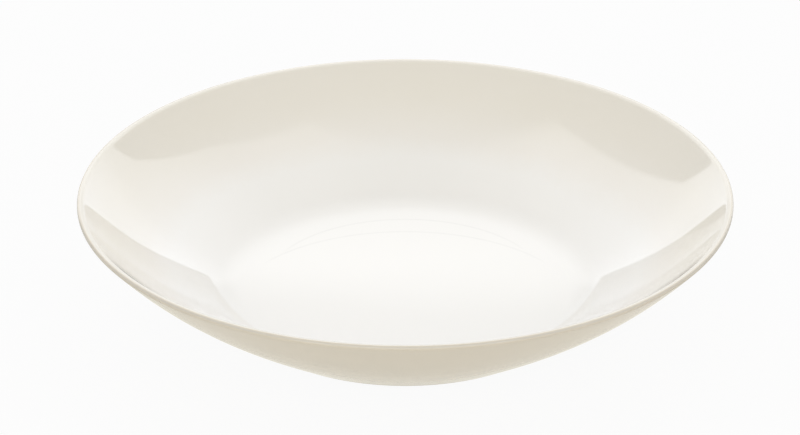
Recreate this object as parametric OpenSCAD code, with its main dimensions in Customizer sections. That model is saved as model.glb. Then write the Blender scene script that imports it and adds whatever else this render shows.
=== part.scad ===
// Deep coupe plate: one fired clay body on its own foot ring, under a thin coat of glaze.
// Every piece is turned round the same axis, and the foot ring stands on z = 0.

/* [Plate] */
// Diameter over the lip, with its glaze
rim_d = 220; // [190:1:260]
// Height of the lip above the table, with its glaze
plate_h = 43.1; // [36:0.1:60]

/* [Wall] */
// How much flatter than its own lean the wall leaves the foot, in degrees
foot_ease = 7.6; // [4:0.2:12]
// How much steeper than its own lean the wall stands under the lip, in degrees
lip_lift = 9.4; // [5:0.2:20]
// Handles of the wall's curve, as a share of the way to where its end tangents meet
bow_share = 0.75; // [0.5:0.05:0.9]
// Thickness of the clay where the wall leaves the foot
wall_t = 4.5; // [3.5:0.1:5.5]
// Thickness of the clay at the lip
lip_t = 1.9; // [1.4:0.1:3]

/* [Well] */
// Thickness of the clay under the well
floor_t = 3.9; // [3:0.1:6]
// Radius of the wide, soft turn from the well's floor into the wall
well_turn_r = 55; // [20:1:80]

/* [Foot ring] */
// Diameter over the foot ring where it meets the table
foot_d = 111; // [96:1:130]
// Width of the foot ring at the table
foot_w = 4; // [3:0.1:7]
// Height of the recess inside the foot ring
foot_h = 2.2; // [1.9:0.1:4]
// Draft of the foot ring's inner side, in degrees
foot_draft = 18; // [0:1:30]
// Rounding of the foot ring's two edges
foot_edge_r = 0.7; // [0.3:0.1:1]
// Radius of the hollow corner between the foot ring and the underside
foot_fillet_r = 1.2; // [0.6:0.1:1.6]

/* [Glaze] */
// Thickness of the glaze
glaze_t = 0.25; // [0.15:0.05:0.5]
// Width of the bare clay between the foot ring's outer edge and the glaze
bare_w = 1.2; // [0.8:0.1:4]

/* [Hidden] */
$fn = 180;

// Steps of each stretch of the outline
wall_steps = 26;
lip_steps = 16;
well_steps = 10;
edge_steps = 5;

// Colours of the fired clay, of the glaze in the light and of the glaze underneath
clay_colour = [0.84, 0.80, 0.72];
glaze_colour = [0.96, 0.945, 0.905];
base_colour = [0.90, 0.885, 0.83];

// Headings along the outline, in degrees: outwards, back inwards, and straight up
out_way = 0;
in_way = -180;
up_way = -270;

// Clay sizes under the glaze, and the lean of a straight line from the foot to the lip
foot_r = foot_d / 2;
floor_z = foot_h + floor_t;
lip_r = lip_t / 2;
lip_centre = [rim_d / 2 - glaze_t - lip_r, plate_h - glaze_t - lip_r];
wall_lean = atan2(lip_centre.y, lip_centre.x - foot_r);
foot_slope = wall_lean - foot_ease;
lip_slope = wall_lean + lip_lift;

// Where the inner face of the wall, one wall thickness in, would cut the floor
well_r = foot_r + (floor_z - wall_t / cos(foot_slope)) / tan(foot_slope);
// The foot ring's inner side, at the table and where it would cut the underside
ring_way = up_way + foot_draft;
ring_in_r = foot_r - foot_w;
ring_top_r = ring_in_r - foot_h * tan(foot_draft);

// A station is a point of the outline, as radius and height, and the heading there.
// The outline runs from the middle of the well over the lip to the middle of the underside,
// so the clay lies on its right and the air on its left.
function station(point, heading) = [point.x, point.y, heading];
function point_of(s) = [s.x, s.y];
function along(heading) = [cos(heading), sin(heading)];
function outward(heading) = [-sin(heading), cos(heading)];
function last(list) = list[len(list) - 1];

// An arc round a centre on the clay's side for a bulging turn, or the air's for a hollow one
function turn(centre, radius, from, to, steps) =
    let (side = to < from ? 1 : -1)
    [for (i = [0:steps])
        let (heading = from + (to - from) * i / steps)
        station(centre + side * radius * outward(heading), heading)];

// A corner of two straight stretches, rounded to a radius
function corner(point, radius, from, to, steps) =
    let (
        side = to < from ? 1 : -1,
        start = point - radius * tan(abs(to - from) / 2) * along(from)
    )
    turn(start - side * radius * outward(from), radius, from, to, steps);

// How far a line from one station runs before it meets the line through the other
function reach(a, b) =
    cross(point_of(b) - point_of(a), along(b.z)) / cross(along(a.z), along(b.z));

// A smooth bow between two stations, tangent to both, without the stations themselves
function bow(a, b, steps) =
    let (
        p = point_of(a),
        q = point_of(b),
        p_handle = bow_share * reach(a, b) * along(a.z),
        q_handle = bow_share * reach(b, a) * along(b.z),
        mid = q + q_handle - p - p_handle
    )
    [for (i = [1:steps - 1])
        let (
            t = i / steps,
            s = 1 - t,
            way = s * s * p_handle + 2 * s * t * mid - t * t * q_handle
        )
        station(
            s * s * (s + 3 * t) * p + 3 * s * s * t * p_handle
                + t * t * (t + 3 * s) * q + 3 * s * t * t * q_handle,
            atan2(way.y, way.x))];

// The outline of the clay, stretch by stretch
well_middle = station([0, floor_z], out_way);
well_turn = corner([well_r, floor_z], well_turn_r, out_way, foot_slope, well_steps);
lip = turn(lip_centre, lip_r, lip_slope, lip_slope + in_way, lip_steps);
outer_edge = corner([foot_r, 0], foot_edge_r, foot_slope + in_way, in_way, edge_steps);
glaze_end = station(
    point_of(outer_edge[0]) + bare_w * along(foot_slope), foot_slope + in_way);
inner_edge = corner([ring_in_r, 0], foot_edge_r, in_way, ring_way, edge_steps);
ring_fillet = corner([ring_top_r, foot_h], foot_fillet_r, ring_way, in_way, edge_steps);
base_middle = station([0, foot_h], in_way);

// What the glaze covers above, what stays bare, and what the glaze covers underneath
top_run = concat(
    [well_middle],
    well_turn,
    bow(last(well_turn), lip[0], wall_steps),
    lip,
    bow(last(lip), glaze_end, wall_steps),
    [glaze_end]);
bare_run = concat(outer_edge, inner_edge);
base_run = concat(ring_fillet, [base_middle]);

// The points of a run of stations, moved out from the clay by a distance
function raised(run, distance) =
    [for (s = run) point_of(s) + distance * outward(s.z)];
function backwards(list) = [for (i = [len(list) - 1:-1:0]) list[i]];

// A skin of glaze over a run of the outline, face to face with the clay
module skin(run) {
    rotate_extrude()
        polygon(concat(raised(run, glaze_t), backwards(raised(run, 0))));
}

// The clay: well, wall, lip and foot ring, formed and fired in one piece
module plate_body() {
    color(clay_colour)
        rotate_extrude()
            polygon(raised(concat(top_run, bare_run, base_run), 0));
}

// The glaze over the well, the wall's inside, the lip and the wall's outside
module glaze_coat() {
    color(glaze_colour) skin(top_run);
}

// The glaze inside the foot ring, which the bare ring cuts off from the rest
module base_glaze() {
    color(base_colour) skin(base_run);
}

plate_body();
glaze_coat();
base_glaze();
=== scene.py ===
"""A deep plate of fired clay under a glossy ivory glaze, on a pale floor in soft studio light."""

import math
from collections import namedtuple

import bpy
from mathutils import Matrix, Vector


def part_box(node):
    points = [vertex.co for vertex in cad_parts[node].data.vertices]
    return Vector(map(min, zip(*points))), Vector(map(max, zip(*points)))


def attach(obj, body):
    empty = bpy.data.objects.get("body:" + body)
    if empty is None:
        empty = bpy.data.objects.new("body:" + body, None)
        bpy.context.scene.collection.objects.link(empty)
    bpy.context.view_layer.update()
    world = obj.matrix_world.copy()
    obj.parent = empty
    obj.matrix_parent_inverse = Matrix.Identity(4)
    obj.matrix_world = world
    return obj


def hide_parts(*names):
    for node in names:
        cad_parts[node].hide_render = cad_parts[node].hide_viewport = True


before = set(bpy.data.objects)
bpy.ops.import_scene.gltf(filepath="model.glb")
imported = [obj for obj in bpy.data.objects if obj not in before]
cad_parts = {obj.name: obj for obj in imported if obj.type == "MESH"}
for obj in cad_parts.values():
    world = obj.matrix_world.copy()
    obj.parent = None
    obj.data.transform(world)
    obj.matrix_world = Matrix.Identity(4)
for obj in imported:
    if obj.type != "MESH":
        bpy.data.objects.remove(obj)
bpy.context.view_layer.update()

# The plate's sizes are in millimetres, the studio's are in metres and headings are in degrees.
# A mesh is in metres.
MM = 0.001

# The plate's overall sizes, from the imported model
COAT_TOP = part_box("glaze_coat")[1]
RIM_R = round(COAT_TOP.x / MM, 1)
PLATE_H = round(COAT_TOP.z / MM, 1)

# How the wall leaves the foot and reaches the lip, the handles of its bow, and its thickness
FOOT_EASE = 7.6
LIP_LIFT = 9.4
BOW_SHARE = 0.75
WALL_T = 4.1
# The lip is rounded wide on its inner side and tight on its outer side, as a sponge leaves it
LIP_IN_EASE = 2.0
LIP_IN_R = 2.0
LIP_OUT_R = 0.67

# The well, a shallow dish that turns into the wall, and the foot ring under it
FLOOR_T = 3.9
DISH_R = 800.0
WELL_TURN_R = 24.0
FOOT_R = 55.5
FOOT_W = 4.0
FOOT_H = 2.2
FOOT_DRAFT = 18.0
FOOT_EDGE_R = 0.7
FOOT_FILLET_R = 1.2

# The glaze, the bare band above the foot, and the roll in which the wiped glaze ends
GLAZE_T = 0.25
BARE_W = 1.2
ROLL_EDGE = 0.35
ROLL_SWELL = 0.35
ROLL_W = 1.4
# How far up from the glaze's end its stations stand close, as a multiple of the roll's width
ROLL_REACH = 4

# Steps of each stretch of the outline, and of the turn round the axis
SEGMENTS = 256
FLOOR_RINGS = 30
WELL_STEPS = 24
WALL_STEPS = 40
LIP_STEPS = 20
EDGE_STEPS = 8
ROLL_STEPS = 12
JOIN_GAP = 0.002

# The slight waves that pressing, drying and firing leave in every turned face. Below the
# steady height they die out, so that the foot stands flat on the table.
WAVE_SIZE = 62.0
WAVE_H = 0.12
WAVE_SEED = 7.0
STEADY_H = 4.0

# Noise varies round this middle
NOISE_MIDDLE = 0.5

# A share from 0 to 1 of painted light in the glaze's colour, which each point of a mesh carries by
# this name
LIGHT_SHARE_NAME = "glaze_depth"
# Inside, it is painted light in the well and painted shade at the lip, changing between two heights
WELL_LIGHT_SHARE = 0.9
LIP_LIGHT_SHARE = 0.62
WELL_LIGHT_Z = 14.0
LIP_SHADE_Z = 36.0
# The painted highlight on the crest runs out this far below the crest. On the outside a line of
# painted shade follows, and the outside's own painted shade is reached at the line's end.
CREST_H = 0.45
LINE_H = 1.1
OUTSIDE_LIGHT_SHARE = 0.16

# The glaze's tones by its share of painted light: painted shade in the line under the crest, on
# the outside and inside at the lip, painted light in the well, and a painted highlight on the crest
GLAZE_TONES = (
    (0.0, (214, 208, 197)),
    (0.1, (221, 212, 195)),
    (0.22, (221, 212, 195)),
    (0.6, (235, 230, 219)),
    (0.78, (239, 235, 228)),
    (0.87, (242, 240, 236)),
    (0.95, (242, 240, 236)),
    (1.0, (254, 252, 247)),
)
# Its clouds and fine mottle: how wide they are, and how much deeper or thinner it looks there
GLAZE_CLOUD_W = 38.0
GLAZE_MOTTLE_W = 3.2
CLOUD_DEPTH = 0.1
MOTTLE_DEPTH = 0.03
# Its gloss is a little uneven in fine grains and in the clouds, each up to as much again
GLAZE_ROUGHNESS = 0.012
GLAZE_GRAIN_W = 1.1
GLAZE_IOR = 1.55
# Its skin has shallow dimples
DIMPLE_W = 2.4
DIMPLE_H = 0.0008
DIMPLE_STRENGTH = 0.5

# Two hair-thin darker arcs, a painted reflection, cross the far half of the well. Each has its
# centre's place behind the axis, its radius, and how far behind the axis it starts and is full.
PAINTED_REFLECTION_ARCS = ((-16.0, 58.6, 15.0, 25.0), (3.7, 47.5, 24.0, 34.0))
ARC_HALF_W = 0.75
ARC_DARKER = 0.042
# They fade out with height, and keep to glaze that has the well's share of painted light
ARC_TOP_Z = (12.0, 10.0)
ARC_LIGHT_SHARE = (0.5, 0.85)

# The fired clay's two tones, where it is rubbed at the table, and its specks
CLAY_PALE = (226, 216, 194)
CLAY_WARM = (214, 200, 174)
CLAY_RUBBED = (198, 188, 170)
CLAY_SPECK = (150, 128, 98)
CLAY_CLOUD_W = 14.0
CLAY_GRAIN_W = 0.35
SPECK_W = 0.7
SPECK_LEVELS = (0.70, 0.76)
SPECK_SHARE = 0.6
RUBBED_H = 0.25
# The sponge's rings to a millimetre, and the relief of grain and rings together
SPONGE_RINGS = 6.0
SPONGE_RELIEF = 0.5
GRAIN_RELIEF = 0.7
CLAY_RELIEF_H = 0.05
CLAY_RELIEF_STRENGTH = 0.8
CLAY_ROUGHNESS = 0.78
GRAIN_ROUGHNESS = 0.15
CLAY_IOR = 1.45

# The floor lies just under the foot. Most of its look is its own white, and the rest is paper
# that takes light and shadow.
FLOOR_HALF_W = 20.0
FLOOR_GAP = 0.01 * MM
FLOOR_OWN_WHITE = 0.96
FLOOR_SEEN = (253, 253, 253)
FLOOR_PAPER = (243, 243, 243)
# Mirrored in the plate it is greyer, and a painted shadow dims it in a ring round the plate, but
# not behind it: where the ring starts and ends as distances from the axis, and where it fades out
# behind
FLOOR_MIRRORED = (242, 238, 226)
FLOOR_SHADE = (148, 148, 143)
SHADE_START_R = (84.0, 140.0)
SHADE_END_R = (175.0, 220.0)
SHADE_BEHIND = (60.0, 110.0)

# A large soft panel hangs over the plate and slopes down behind it. A place on it is given as
# shares of the height at which it crosses the plate's axis: to the right, and behind.
PANEL_OVERHEAD = 2.4
PANEL_TILT = 46.8
PANEL_HALF_W = 0.68
PANEL_NEAR = -0.12
PANEL_FAR = 0.93
PANEL_NEAR_TINT = (0.965, 0.97, 0.975, 1.0)
PANEL_FAR_TINT = (0.93, 0.965, 1.03, 1.0)
# Its brightness by the distance behind
PANEL_GLOW = (
    (0.0, 0.70),
    (0.14, 0.70),
    (0.26, 0.62),
    (0.36, 0.86),
    (0.5, 1.06),
    (0.62, 1.08),
    (0.78, 1.4),
)
# How much brighter it is at its sides, and where that starts and is full
PANEL_SIDE_GAIN = 0.2
PANEL_SIDES = (0.3, 0.5)
# Its edges: near, left, the cut corner at the near right, and right. Each straight line of an
# edge has a point, the way inwards as an angle from the right, and a softness. Where an edge
# has a second line, the panel flares out along it towards the floor.
PANEL_EDGES = (
    (((0.0, 0.004), 83.7, 0.05),),
    (((-0.5785, 0.0), -8.0, 0.012), ((-0.49, 0.63), 38.0, 0.012)),
    (((0.41, 0.0), 151.2, 0.02),),
    (((0.54, 0.0), 176.0, 0.012), ((0.578, 0.545), 138.0, 0.012)),
)
# Spots on it: the lamp behind it, the shade of the lamp's stand, a dimmer part overhead and a
# brighter one at the left. Each has its place, its radii, the share of them that it fills
# evenly, and how much brightness it adds.
LAMP_SPOT = ((0.0, 0.55), (0.25, 0.16), 0.3, 0.34)
STAND_SPOT = ((0.0, 0.78), (0.27, 0.173), 0.74, -0.64)
OVERHEAD_SPOT = ((0.0, 0.12), (0.36, 0.22), 0.3, -0.5)
LEFT_SPOT = ((-0.45, 0.23), (0.13, 0.18), 0.3, 0.35)
PANEL_SPOTS = (LAMP_SPOT, STAND_SPOT, OVERHEAD_SPOT, LEFT_SPOT)

# A pale screen in front of the plate, out of the sight of its inner wall, lifts the shade
SCREEN_Y = -2.2
SCREEN_Z = 1.1
SCREEN_W = 3.4
SCREEN_H = 1.9
SCREEN_RADIANCE = 1.12
SCREEN_TINT = (1.0, 0.97, 0.87, 1.0)

# The room is dim low down all round and paler above, with the change between two elevations
ROOM_LOW = 0.35
ROOM_HIGH = 0.61
ROOM_EDGE = (8.0, 16.0)

# The photo's frame, its lens and the rim's middle in it, in pixels
PHOTO_W = 800
PHOTO_H = 435
FOCAL_PX = 4588.5
RIM_MIDDLE_PX = (405.25, 193.4)
# How high the camera stands over the table, how far from the rim's middle, and how far it sees
VIEW_ELEVATION = 26.04
VIEW_DISTANCE = 1.54
VIEW_REACH = 50.0
# The width of the camera's sensor, in millimetres
SENSOR_W = 36.0


class Value:
    """One output socket of a node. Sums with it add Math nodes to its tree."""

    def __init__(self, nodes, socket):
        self.nodes = nodes
        self.socket = socket

    def other(self, name):
        """Another output of the same node."""
        return Value(self.nodes, self.socket.node.outputs[name])

    def __add__(self, other):
        return self.nodes.math("ADD", self, other)

    def __radd__(self, other):
        return self.nodes.math("ADD", other, self)

    def __sub__(self, other):
        return self.nodes.math("SUBTRACT", self, other)

    def __rsub__(self, other):
        return self.nodes.math("SUBTRACT", other, self)

    def __mul__(self, other):
        return self.nodes.math("MULTIPLY", self, other)

    def __rmul__(self, other):
        return self.nodes.math("MULTIPLY", other, self)

    def __truediv__(self, other):
        return self.nodes.math("DIVIDE", self, other)

    def __rtruediv__(self, other):
        return self.nodes.math("DIVIDE", other, self)


class Nodes:
    """Adds nodes to one tree: a type, its settings first, then the values or links of its sockets."""

    def __init__(self, tree):
        self.tree = tree

    def add(self, kind, settings=None, sockets=None, out=0):
        node = self.tree.nodes.new(kind)
        node.location = (200 * len(self.tree.nodes), 0)
        for name, value in (settings or {}).items():
            if name == "stops":
                set_stops(node.color_ramp, value)
            else:
                setattr(node, name, value)
        for name, value in (sockets or {}).items():
            if isinstance(value, Value):
                self.tree.links.new(value.socket, node.inputs[name])
            else:
                node.inputs[name].default_value = value
        return Value(self, node.outputs[out]) if node.outputs else None

    def math(self, operation, *numbers):
        return self.add("ShaderNodeMath", {"operation": operation}, dict(enumerate(numbers)))

    def vector_math(self, operation, sockets, out=0):
        return self.add("ShaderNodeVectorMath", {"operation": operation}, sockets, out=out)

    def scaled(self, vector, factor):
        return self.vector_math("SCALE", {0: vector, "Scale": factor})

    def length(self, vector):
        return self.vector_math("LENGTH", {0: vector}, out="Value")

    def part(self, vector, axis):
        """One coordinate of a vector."""
        return self.add("ShaderNodeSeparateXYZ", {}, {"Vector": vector}, out=axis)

    def noise(self, place, size, detail, seed):
        """Noise whose features are about size millimetres across."""
        sockets = {"Vector": place, "W": seed, "Scale": 1 / (size * MM), "Detail": detail}
        return self.add("ShaderNodeTexNoise", {"noise_dimensions": "4D"}, sockets, out="Fac")

    def ease(self, value, start, end):
        """A smooth step from 0 at start to 1 at end."""
        sockets = {"Value": value, "From Min": start, "From Max": end}
        return self.add("ShaderNodeMapRange", {"interpolation_type": "SMOOTHSTEP"}, sockets)

    def blend(self, first, second, share):
        """The first colour, and by the share the second one."""
        return self.add("ShaderNodeMix", {"data_type": "RGBA"}, {0: share, 6: first, 7: second}, out=2)


def set_stops(ramp, stops):
    """Places a ramp's colour stops."""
    while len(ramp.elements) < len(stops):
        ramp.elements.new(1.0)
    for element, (position, colour) in zip(ramp.elements, stops):
        element.position = position
        element.color = colour


def srgb(red, green, blue):
    """A colour of 0 to 255 as the eye sees it, as the linear colour that a socket takes."""
    levels = [level / 255 for level in (red, green, blue)]
    return (*((n / 12.92 if n <= 0.04045 else ((n + 0.055) / 1.055) ** 2.4) for n in levels), 1.0)


# A station is a point of the clay's outline, its heading, and the share of the glaze's
# thickness over it. The outline runs from the middle of the well over the lip to the middle
# of the underside, with the clay on its right and the air on its left.
Station = namedtuple("Station", "point heading glaze", defaults=(1.0,))

UP = Vector((0, 1))
OUT_WAY = 0.0
IN_WAY = -180.0
UP_WAY = -270.0


def along(heading):
    """The way that a heading points."""
    return Vector((math.cos(math.radians(heading)), math.sin(math.radians(heading))))


def outward(heading):
    """The way to the left of a heading, out of the clay."""
    return Vector((-math.sin(math.radians(heading)), math.cos(math.radians(heading))))


def cross(first, second):
    """The cross product of two flat vectors."""
    return first.x * second.y - first.y * second.x


def turn(centre, radius, start, end, steps):
    """An arc round a centre on the clay's side for a bulging turn, or the air's for a hollow one."""
    side = 1 if end < start else -1
    headings = [start + (end - start) * i / steps for i in range(steps + 1)]
    return [Station(centre + side * radius * outward(h), h) for h in headings]


def corner(point, radius, start, end, steps):
    """A corner of two straight stretches, rounded to a radius."""
    side = 1 if end < start else -1
    reach_back = radius * math.tan(math.radians(abs(end - start)) / 2)
    first = point - reach_back * along(start)
    return turn(first - side * radius * outward(start), radius, start, end, steps)


def reach(a, b):
    """How far a line from one station runs before it meets the line through the other."""
    return cross(b.point - a.point, along(b.heading)) / cross(along(a.heading), along(b.heading))


def bow(a, b, shares):
    """Stations of a smooth bow between two stations, tangent to both, at shares of its course."""
    p, q = a.point, b.point
    p_handle = BOW_SHARE * reach(a, b) * along(a.heading)
    q_handle = BOW_SHARE * reach(b, a) * along(b.heading)
    middle = q + q_handle - p - p_handle
    stations = []
    for t in shares:
        s = 1 - t
        way = s * s * p_handle + 2 * s * t * middle - t * t * q_handle
        from_p = s * s * (s + 3 * t) * p + 3 * s * s * t * p_handle
        from_q = t * t * (t + 3 * s) * q + 3 * s * t * t * q_handle
        stations.append(Station(from_p + from_q, math.degrees(math.atan2(way.y, way.x))))
    return stations


def even_shares(steps):
    """The shares at which a stretch is cut into equal steps."""
    return [i / steps for i in range(1, steps)]


def flat_stretch(first, last, steps):
    """Stations along a flat stretch between two others, without those two."""
    spread = [first.point.lerp(last.point, share) for share in even_shares(steps)]
    return [Station(point, first.heading) for point in spread]


def dished_well(middle, edge, wall_slope):
    """The well's shallow dish, and the turn from it into the wall's line through an edge point."""
    centre = middle + DISH_R * UP
    way = along(wall_slope)
    inner_r = DISH_R - WELL_TURN_R
    start = edge + WELL_TURN_R * outward(wall_slope) - centre
    back = start.dot(way)
    run = -back - math.sqrt(back * back - start.length_squared + inner_r * inner_r)
    hub = start + run * way
    slope = math.degrees(math.atan2(hub.x, -hub.y))
    dish = turn(centre, DISH_R, OUT_WAY, slope, FLOOR_RINGS)
    return dish + turn(centre + hub, WELL_TURN_R, slope, wall_slope, WELL_STEPS)[1:]


def closing_shares(end_handle):
    """Shares of a bow that stand ever closer towards its end, where the glaze runs out."""
    distances = [
        ROLL_REACH * ROLL_W * (i / ROLL_STEPS) ** 2 for i in range(ROLL_STEPS, 0, -1)]
    return [1 - distance / (3 * end_handle) for distance in distances]


def rolled(run):
    """The run with its glaze drawn to nothing at the last station, over a slightly swollen roll."""
    result = []
    behind = 0.0
    later = run[-1]
    for spot in reversed(run):
        behind += (spot.point - later.point).length
        later = spot
        rise = math.sqrt(1 - max(0.0, 1 - behind / ROLL_EDGE) ** 2)
        swell = 1 + ROLL_SWELL * math.exp(-((behind / ROLL_W) ** 2))
        result.append(spot._replace(glaze=rise * swell))
    return result[::-1]


def smooth_share(share):
    """A share kept between 0 and 1, with soft ends."""
    share = min(1.0, max(0.0, share))
    return share * share * (3 - 2 * share)


def glaze_depth(spot):
    """How much painted light the glaze gets over a station: a painted highlight on the crest, painted
    shade outside below it, or inside painted shade at the lip that turns to painted light in the well.
    """
    drop = PLATE_H - spot.point.y
    on_crest = smooth_share(1 - drop / CREST_H)
    if spot.heading < OUT_WAY:
        below = smooth_share((drop - CREST_H) / (LINE_H - CREST_H))
        return max(on_crest, OUTSIDE_LIGHT_SHARE * below)
    down = smooth_share((LIP_SHADE_Z - spot.point.y) / (LIP_SHADE_Z - WELL_LIGHT_Z))
    return max(on_crest, LIP_LIGHT_SHARE + (WELL_LIGHT_SHARE - LIP_LIGHT_SHARE) * down)


def raised(run, thickness):
    """Each station of a run with its point, moved out from the clay by its glaze."""
    return [(s, s.point + thickness * s.glaze * outward(s.heading)) for s in run]


def plate_outline():
    """The clay's outline in three runs: glazed above, bare at the foot, and glazed underneath."""
    foot = Vector((FOOT_R, 0.0))
    crest = Vector((RIM_R - GLAZE_T - LIP_OUT_R, PLATE_H - GLAZE_T))
    lean = math.degrees(math.atan2(crest.y, crest.x - foot.x))
    foot_slope = lean - FOOT_EASE
    lip_slope = lean + LIP_LIFT

    floor_z = FOOT_H + FLOOR_T
    wall_level = WALL_T / math.cos(math.radians(foot_slope))
    well_r = foot.x + (floor_z - wall_level) / math.tan(math.radians(foot_slope))
    well = dished_well(Vector((0.0, floor_z)), Vector((well_r, floor_z)), foot_slope)

    lip_in = turn(
        crest - LIP_IN_R * UP, LIP_IN_R, lip_slope - LIP_IN_EASE, OUT_WAY, LIP_STEPS)
    lip_out = turn(
        crest - LIP_OUT_R * UP, LIP_OUT_R, OUT_WAY, lip_slope + IN_WAY, LIP_STEPS)
    lip = lip_in + lip_out[1:]
    outer_edge = corner(foot, FOOT_EDGE_R, foot_slope + IN_WAY, IN_WAY, EDGE_STEPS)
    glaze_end = Station(outer_edge[0].point + BARE_W * along(foot_slope), foot_slope + IN_WAY)

    ring_way = UP_WAY + FOOT_DRAFT
    ring_in_r = foot.x - FOOT_W
    ring_top_r = ring_in_r - FOOT_H * math.tan(math.radians(FOOT_DRAFT))
    inner_edge = corner(Vector((ring_in_r, 0.0)), FOOT_EDGE_R, IN_WAY, ring_way, EDGE_STEPS)
    fillet = corner(
        Vector((ring_top_r, FOOT_H)), FOOT_FILLET_R, ring_way, IN_WAY, EDGE_STEPS)
    base_middle = Station(Vector((0.0, FOOT_H)), IN_WAY)

    closing = closing_shares(-BOW_SHARE * reach(glaze_end, lip[-1]))
    wall_shares = [share for share in even_shares(WALL_STEPS) if share < closing[0]]
    top_run = well + bow(well[-1], lip[0], even_shares(WALL_STEPS)) + lip
    top_run += bow(lip[-1], glaze_end, wall_shares + closing) + [glaze_end]
    base_run = fillet + flat_stretch(fillet[-1], base_middle, FLOOR_RINGS) + [base_middle]
    return rolled(top_run), outer_edge + inner_edge, rolled(base_run[::-1])[::-1]


def turned_shell(nodes, given):
    """An outline turned round the axis, as a grid with a column for each segment."""
    outline = given.other("Outline")
    segments = given.other("Segments")
    rows = nodes.add("GeometryNodeAttributeDomainSize", {}, {"Geometry": outline})
    grid = nodes.add("GeometryNodeMeshGrid", {}, {"Vertices X": segments + 1, "Vertices Y": rows})
    index = nodes.add("GeometryNodeInputIndex")
    column = nodes.math("FLOOR", index / rows)
    row = index - column * rows

    # Each point of the outline gives its row its place and its share of painted light
    light_share = nodes.add(
        "GeometryNodeInputNamedAttribute", {"data_type": "FLOAT"}, {"Name": LIGHT_SHARE_NAME})
    row_place = nodes.add(
        "GeometryNodeSampleIndex", {"data_type": "FLOAT_VECTOR"},
        {"Geometry": outline, "Value": nodes.add("GeometryNodeInputPosition"), "Index": row})
    row_light_share = nodes.add(
        "GeometryNodeSampleIndex", {"data_type": "FLOAT"},
        {"Geometry": outline, "Value": light_share, "Index": row})

    # Turned clockwise, so that the faces point to the outline's left, into the air
    turned = nodes.add(
        "ShaderNodeVectorRotate", {"rotation_type": "Z_AXIS"},
        {"Vector": row_place, "Angle": column * (-2 * math.pi) / segments})
    marked = nodes.add(
        "GeometryNodeStoreNamedAttribute", {"data_type": "FLOAT", "domain": "POINT"},
        {"Geometry": grid, "Name": LIGHT_SHARE_NAME, "Value": row_light_share})
    return nodes.add("GeometryNodeSetPosition", {}, {"Geometry": marked, "Position": turned})


def wave_shift(nodes, given):
    """The waves. They depend on the place alone, so that pieces that touch keep touching."""
    place = nodes.add("GeometryNodeInputPosition")
    waves = nodes.add(
        "ShaderNodeTexNoise", {"noise_dimensions": "4D"},
        {"Vector": place, "W": given.other("Seed"), "Scale": 1 / given.other("Wave size"),
         "Detail": 0.0}, out="Color")
    centred = nodes.vector_math("SUBTRACT", {0: waves, 1: [NOISE_MIDDLE] * 3})
    loose = nodes.ease(nodes.part(place, "Z"), 0.0, given.other("Steady height"))
    return nodes.scaled(centred, 2 * given.other("Wave height") * loose)


def turned_piece_tree():
    """Geometry Nodes that turn an outline round the plate's axis, close it and give it its waves."""
    tree = bpy.data.node_groups.new("turned_piece", "GeometryNodeTree")
    for name, kind, in_out in (
        ("Piece", "NodeSocketGeometry", "OUTPUT"),
        ("Outline", "NodeSocketGeometry", "INPUT"),
        ("Segments", "NodeSocketInt", "INPUT"),
        ("Wave size", "NodeSocketFloat", "INPUT"),
        ("Wave height", "NodeSocketFloat", "INPUT"),
        ("Steady height", "NodeSocketFloat", "INPUT"),
        ("Seed", "NodeSocketFloat", "INPUT"),
        ("Join distance", "NodeSocketFloat", "INPUT"),
        ("Finish", "NodeSocketMaterial", "INPUT"),
    ):
        tree.interface.new_socket(name, in_out=in_out, socket_type=kind)
    nodes = Nodes(tree)
    given = nodes.add("NodeGroupInput")
    closed = nodes.add(
        "GeometryNodeMergeByDistance", {},
        {"Geometry": turned_shell(nodes, given), "Distance": given.other("Join distance")})
    waved = nodes.add(
        "GeometryNodeSetPosition", {}, {"Geometry": closed, "Offset": wave_shift(nodes, given)})
    smooth = nodes.add("GeometryNodeSetShadeSmooth", {}, {"Geometry": waved})
    real = nodes.add("GeometryNodeRealizeInstances", {}, {"Geometry": smooth})
    finished = nodes.add(
        "GeometryNodeSetMaterial", {}, {"Geometry": real, "Material": given.other("Finish")})
    nodes.add("NodeGroupOutput", {}, {"Piece": finished})
    return tree


def turned_piece(name, outline, tree, finish):
    """A plain mesh of one outline, turned round the axis by the tree."""
    line = bpy.data.meshes.new(name + "_outline")
    points = [(point.x * MM, 0.0, point.y * MM) for spot, point in outline]
    line.from_pydata(points, [(i, i + 1) for i in range(len(points) - 1)], [])
    # Each point carries the glaze's share of painted light and shade
    light_share = line.attributes.new(LIGHT_SHARE_NAME, "FLOAT", "POINT")
    light_share.data.foreach_set("value", [glaze_depth(spot) for spot, point in outline])
    piece = bpy.data.objects.new(name, line)
    bpy.context.scene.collection.objects.link(piece)
    modifier = piece.modifiers.new("turned", "NODES")
    modifier.node_group = tree
    inputs = {
        "Segments": SEGMENTS,
        "Wave size": WAVE_SIZE * MM,
        "Wave height": WAVE_H * MM,
        "Steady height": STEADY_H * MM,
        "Seed": WAVE_SEED,
        "Join distance": JOIN_GAP * MM,
        "Finish": finish,
    }
    for item in tree.interface.items_tree:
        if item.in_out == "INPUT" and item.name in inputs:
            modifier[item.identifier] = inputs[item.name]
    shaped = piece.evaluated_get(bpy.context.evaluated_depsgraph_get())
    mesh = bpy.data.meshes.new_from_object(shaped)
    mesh.name = name
    piece.modifiers.clear()
    piece.data = mesh
    return piece


def new_finish(name):
    """A material with an empty tree, and the tree's nodes."""
    material = bpy.data.materials.new(name)
    material.use_nodes = True
    material.node_tree.nodes.clear()
    return material, Nodes(material.node_tree)


def axis_distance(nodes, place, axis_behind=0.0):
    """How far a place is from an upright axis, which may stand behind the plate's own."""
    from_axis = nodes.vector_math("SUBTRACT", {0: place, 1: (0, axis_behind * MM, 0)})
    flat = nodes.vector_math("MULTIPLY", {0: from_axis, 1: (1, 1, 0)})
    return nodes.length(flat) / MM


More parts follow.
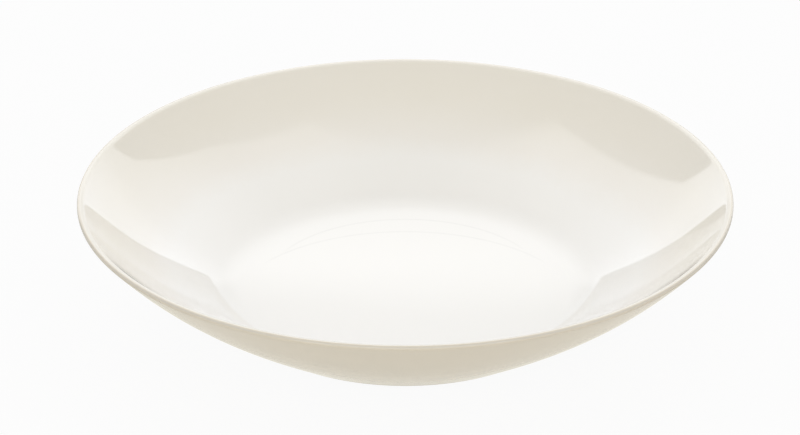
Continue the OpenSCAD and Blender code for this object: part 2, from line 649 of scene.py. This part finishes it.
def painted_arc_reflections(nodes, place, light_share):
    """How strongly each of the painted reflection arcs in the well shows at a place."""
    height = nodes.part(place, "Z") / MM
    behind = nodes.part(place, "Y") / MM
    in_well = nodes.ease(height, *ARC_TOP_Z) * nodes.ease(light_share, *ARC_LIGHT_SHARE)
    marks = []
    for centre_behind, radius, start, full in PAINTED_REFLECTION_ARCS:
        off_arc = nodes.math("ABSOLUTE", axis_distance(nodes, place, centre_behind) - radius)
        on_arc = nodes.ease(off_arc, ARC_HALF_W, 0.0)
        marks.append(in_well * on_arc * nodes.ease(behind, start, full))
    return marks


def ivory_glaze():
    """Glossy ivory glaze, with painted light in the well, a painted highlight on the crest and painted
    shade at the lip and outside.
    """
    material, nodes = new_finish("ivory_glaze")
    place = nodes.add("ShaderNodeTexCoord", out="Object")
    light_share = nodes.add("ShaderNodeAttribute", {"attribute_name": LIGHT_SHARE_NAME}, out="Fac")
    clouds = nodes.noise(place, GLAZE_CLOUD_W, detail=3.0, seed=1.0)
    mottle = nodes.noise(place, GLAZE_MOTTLE_W, detail=2.0, seed=2.0)
    grain = nodes.noise(place, GLAZE_GRAIN_W, detail=1.0, seed=3.0)
    dimples = nodes.noise(place, DIMPLE_W, detail=1.0, seed=4.0)

    uneven = (clouds - NOISE_MIDDLE) * CLOUD_DEPTH + (mottle - NOISE_MIDDLE) * MOTTLE_DEPTH
    # The tone follows the share of painted light and shade, shifted at random by clouds and mottle
    stops = [(share, srgb(*colour)) for share, colour in GLAZE_TONES]
    tone = nodes.add(
        "ShaderNodeValToRGB", {"stops": stops}, {"Fac": light_share + uneven}, out="Color")
    # The arcs' painted reflection darkens the tone
    for mark in painted_arc_reflections(nodes, place, light_share):
        tone = nodes.scaled(tone, 1 - ARC_DARKER * mark * (clouds + mottle))
    gloss = GLAZE_ROUGHNESS + grain * GLAZE_ROUGHNESS + clouds * GLAZE_ROUGHNESS
    skin = nodes.add("ShaderNodeBump", {}, {
        "Strength": DIMPLE_STRENGTH, "Distance": DIMPLE_H * MM, "Height": dimples * light_share})
    surface = nodes.add("ShaderNodeBsdfPrincipled", {}, {
        "Base Color": tone, "Roughness": gloss, "IOR": GLAZE_IOR, "Normal": skin})
    nodes.add("ShaderNodeOutputMaterial", {}, {"Surface": surface})
    return material


def fired_clay():
    """Bare fired clay: matt and grainy, with fine specks and the rings of the sponge that wiped it."""
    material, nodes = new_finish("fired_clay")
    place = nodes.add("ShaderNodeTexCoord", out="Object")
    height = nodes.part(place, "Z") / MM
    clouds = nodes.noise(place, CLAY_CLOUD_W, detail=3.0, seed=1.0)
    grain = nodes.noise(place, CLAY_GRAIN_W, detail=3.0, seed=2.0)
    specks = nodes.ease(nodes.noise(place, SPECK_W, detail=1.0, seed=3.0), *SPECK_LEVELS)
    around = nodes.add(
        "ShaderNodeCombineXYZ", {}, {"X": axis_distance(nodes, place), "Z": height})
    sponge = nodes.add(
        "ShaderNodeTexNoise", {}, {"Vector": around, "Scale": SPONGE_RINGS, "Detail": 2.0}, out="Fac")

    rubbed = nodes.ease(RUBBED_H - height, 0.0, RUBBED_H)
    body = nodes.blend(srgb(*CLAY_PALE), srgb(*CLAY_WARM), clouds)
    worn = nodes.blend(body, srgb(*CLAY_RUBBED), rubbed * grain)
    tone = nodes.blend(worn, srgb(*CLAY_SPECK), specks * SPECK_SHARE)
    relief = nodes.add("ShaderNodeBump", {}, {
        "Strength": CLAY_RELIEF_STRENGTH, "Distance": CLAY_RELIEF_H * MM,
        "Height": grain * GRAIN_RELIEF + sponge * SPONGE_RELIEF})
    roughness = CLAY_ROUGHNESS + grain * GRAIN_ROUGHNESS
    surface = nodes.add("ShaderNodeBsdfPrincipled", {}, {
        "Base Color": tone, "Roughness": roughness, "IOR": CLAY_IOR, "Normal": relief})
    nodes.add("ShaderNodeOutputMaterial", {}, {"Surface": surface})
    return material


def pale_floor():
    """White paper: a soft shadow stays on it, and the rest of it looks plain white."""
    material, nodes = new_finish("pale_floor")
    place = nodes.add("ShaderNodeTexCoord", out="Object")
    from_axis = axis_distance(nodes, place)
    behind = nodes.part(place, "Y") / MM
    # A painted shadow in a ring round the plate, seen only in the glaze's reflections
    in_ring = nodes.ease(from_axis, *SHADE_START_R) * (1 - nodes.ease(from_axis, *SHADE_END_R))
    shaded = in_ring * (1 - nodes.ease(behind, *SHADE_BEHIND))
    dimmed = nodes.blend(srgb(*FLOOR_MIRRORED), srgb(*FLOOR_SHADE), shaded)

    seen = nodes.add("ShaderNodeLightPath", out="Is Camera Ray")
    mirrored = seen.other("Is Glossy Ray") + seen.other("Is Transmission Ray")
    tone = nodes.blend(srgb(*FLOOR_SEEN), dimmed, mirrored)
    paper = nodes.add("ShaderNodeBsdfDiffuse", {}, {"Color": srgb(*FLOOR_PAPER)})
    white = nodes.add("ShaderNodeEmission", {}, {"Color": tone, "Strength": 1.0})
    surface = nodes.add(
        "ShaderNodeMixShader", {}, {0: (seen + mirrored) * FLOOR_OWN_WHITE, 1: paper, 2: white})
    nodes.add("ShaderNodeOutputMaterial", {}, {"Surface": surface})
    return material


def add_floor():
    mesh = bpy.data.meshes.new("floor")
    w = FLOOR_HALF_W
    mesh.from_pydata([(-w, -w, 0), (w, -w, 0), (w, w, 0), (-w, w, 0)], [], [(0, 1, 2, 3)])
    mesh.materials.append(pale_floor())
    floor = bpy.data.objects.new("floor", mesh)
    floor.location.z = -FLOOR_GAP
    bpy.context.scene.collection.objects.link(floor)


def add_lamp(name, middle, facing, width, height):
    """A rectangular soft lamp. An emission of 1 in its nodes is a radiance of 1."""
    lamp = bpy.data.lights.new(name, "AREA")
    lamp.shape = "RECTANGLE"
    lamp.size = width
    lamp.size_y = height
    lamp.energy = math.pi * width * height
    lamp.use_nodes = True
    lamp.node_tree.nodes.clear()
    holder = bpy.data.objects.new(name, lamp)
    holder.location = middle
    holder.rotation_euler = facing.to_track_quat("-Z", "Y").to_euler()
    holder.visible_camera = False
    bpy.context.scene.collection.objects.link(holder)
    return Nodes(lamp.node_tree)


def spot_distance(nodes, right, behind, middle, radii):
    """How far a place on the panel is from a spot's middle, where 1 is the spot's edge."""
    away = nodes.add("ShaderNodeCombineXYZ", {}, {
        "X": (right - middle[0]) / radii[0], "Y": (behind - middle[1]) / radii[1]})
    return nodes.length(away)


def inside_edge(nodes, right, behind, lines):
    """1 on the inner side of any of an edge's straight lines, and 0 beyond them all."""
    inside = 0.0
    for point, inwards, softness in lines:
        way_in = along(inwards)
        far_in = (right - point[0]) * way_in.x + (behind - point[1]) * way_in.y
        inside = nodes.math("MAXIMUM", inside, nodes.ease(far_in, -softness, softness))
    return inside


def panel_glow(nodes, right, behind):
    """The panel's brightness at a place on it. Its ramp is grey, and so gives one number."""
    brightest = max(level for place, level in PANEL_GLOW)
    stops = [(place / PANEL_FAR, (*[level / brightest] * 3, 1.0)) for place, level in PANEL_GLOW]
    glow = brightest * nodes.add(
        "ShaderNodeValToRGB", {"stops": stops}, {"Fac": behind / PANEL_FAR}, out="Color")
    sides = nodes.ease(nodes.math("ABSOLUTE", right), *PANEL_SIDES)
    glow = glow * (1 + PANEL_SIDE_GAIN * sides)
    for middle, radii, even, strength in PANEL_SPOTS:
        spot = nodes.ease(spot_distance(nodes, right, behind, middle, radii), 1.0, even)
        glow = glow + strength * spot
    for lines in PANEL_EDGES:
        glow = glow * inside_edge(nodes, right, behind, lines)
    return glow


def add_panel():
    """The sloping panel, which the plate mirrors and which gives most of the light."""
    slope = math.tan(math.radians(PANEL_TILT))
    near = PANEL_OVERHEAD * Vector((0, PANEL_NEAR, 1 - PANEL_NEAR * slope))
    far = PANEL_OVERHEAD * Vector((0, PANEL_FAR, 1 - PANEL_FAR * slope))
    way = (far - near).normalized()
    nodes = add_lamp(
        "sloping_panel", (near + far) / 2, Vector((0, way.z, -way.y)),
        2 * PANEL_HALF_W * PANEL_OVERHEAD, (far - near).length)
    on_panel = nodes.add("ShaderNodeNewGeometry", out="Parametric")
    right = PANEL_HALF_W * (1 - 2 * nodes.part(on_panel, "X"))
    behind = PANEL_FAR + nodes.part(on_panel, "Y") * (PANEL_NEAR - PANEL_FAR)
    tint = nodes.blend(PANEL_NEAR_TINT, PANEL_FAR_TINT, behind / PANEL_FAR)
    colour = nodes.scaled(tint, panel_glow(nodes, right, behind))
    light = nodes.add("ShaderNodeEmission", {}, {"Color": colour})
    nodes.add("ShaderNodeOutputLight", {}, {"Surface": light})


def add_screen():
    """The plain screen in front, faced at the plate."""
    middle = Vector((0, SCREEN_Y, SCREEN_Z))
    nodes = add_lamp("front_screen", middle, (-middle).normalized(), SCREEN_W, SCREEN_H)
    light = nodes.add(
        "ShaderNodeEmission", {}, {"Color": SCREEN_TINT, "Strength": SCREEN_RADIANCE})
    nodes.add("ShaderNodeOutputLight", {}, {"Surface": light})


def add_room():
    """The grey room, which the glaze mirrors past the panel's edges."""
    world = bpy.data.worlds.new("room")
    world.use_nodes = True
    world.node_tree.nodes.clear()
    nodes = Nodes(world.node_tree)
    rise = nodes.part(nodes.add("ShaderNodeTexCoord", out="Generated"), "Z")
    low, high = (math.sin(math.radians(elevation)) for elevation in ROOM_EDGE)
    level = ROOM_LOW + nodes.ease(rise, low, high) * (ROOM_HIGH - ROOM_LOW)
    room = nodes.add("ShaderNodeBackground", {}, {"Color": level})
    nodes.add("ShaderNodeOutputWorld", {}, {"Surface": room})
    bpy.context.scene.world = world


def add_camera():
    """The photo's camera. It looks along +Y and down at the middle of the rim."""
    lens = bpy.data.cameras.new("photo_camera")
    lens.sensor_width = SENSOR_W
    lens.lens = SENSOR_W * FOCAL_PX / PHOTO_W
    lens.shift_x = (PHOTO_W / 2 - RIM_MIDDLE_PX[0]) / PHOTO_W
    lens.shift_y = (RIM_MIDDLE_PX[1] - PHOTO_H / 2) / PHOTO_W
    lens.clip_end = VIEW_REACH
    elevation = math.radians(VIEW_ELEVATION)
    back = Vector((0, -math.cos(elevation), math.sin(elevation)))
    camera = bpy.data.objects.new("photo_camera", lens)
    camera.location = Vector((0, 0, PLATE_H * MM)) + VIEW_DISTANCE * back
    camera.rotation_euler = (-back).to_track_quat("-Z", "Y").to_euler()
    bpy.context.scene.collection.objects.link(camera)
    bpy.context.scene.camera = camera


def add_plate():
    """The clay, the glaze over it and the glaze underneath, each for its own CAD node."""
    top_run, bare_run, base_run = plate_outline()
    glaze = ivory_glaze()
    tree = turned_piece_tree()
    clay = raised(top_run + bare_run + base_run, 0.0)
    top_coat = raised(top_run, GLAZE_T) + raised(top_run, 0.0)[::-1]
    base_coat = raised(base_run, 0.0)[::-1] + raised(base_run, GLAZE_T)
    for name, node, slot, outline, finish in (
        ("clay_plate", "plate_body", "fired_clay", clay, fired_clay()),
        ("glaze_over_top", "glaze_coat", "ivory_glaze", top_coat, glaze),
        ("glaze_under_base", "base_glaze", "ivory_glaze", base_coat, glaze),
    ):
        piece = turned_piece(name, outline, tree, finish)
        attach(piece, "root")
        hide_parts(node)


bpy.context.scene.view_settings.view_transform = "Standard"
add_camera()
add_floor()
add_panel()
add_screen()
add_room()
add_plate()
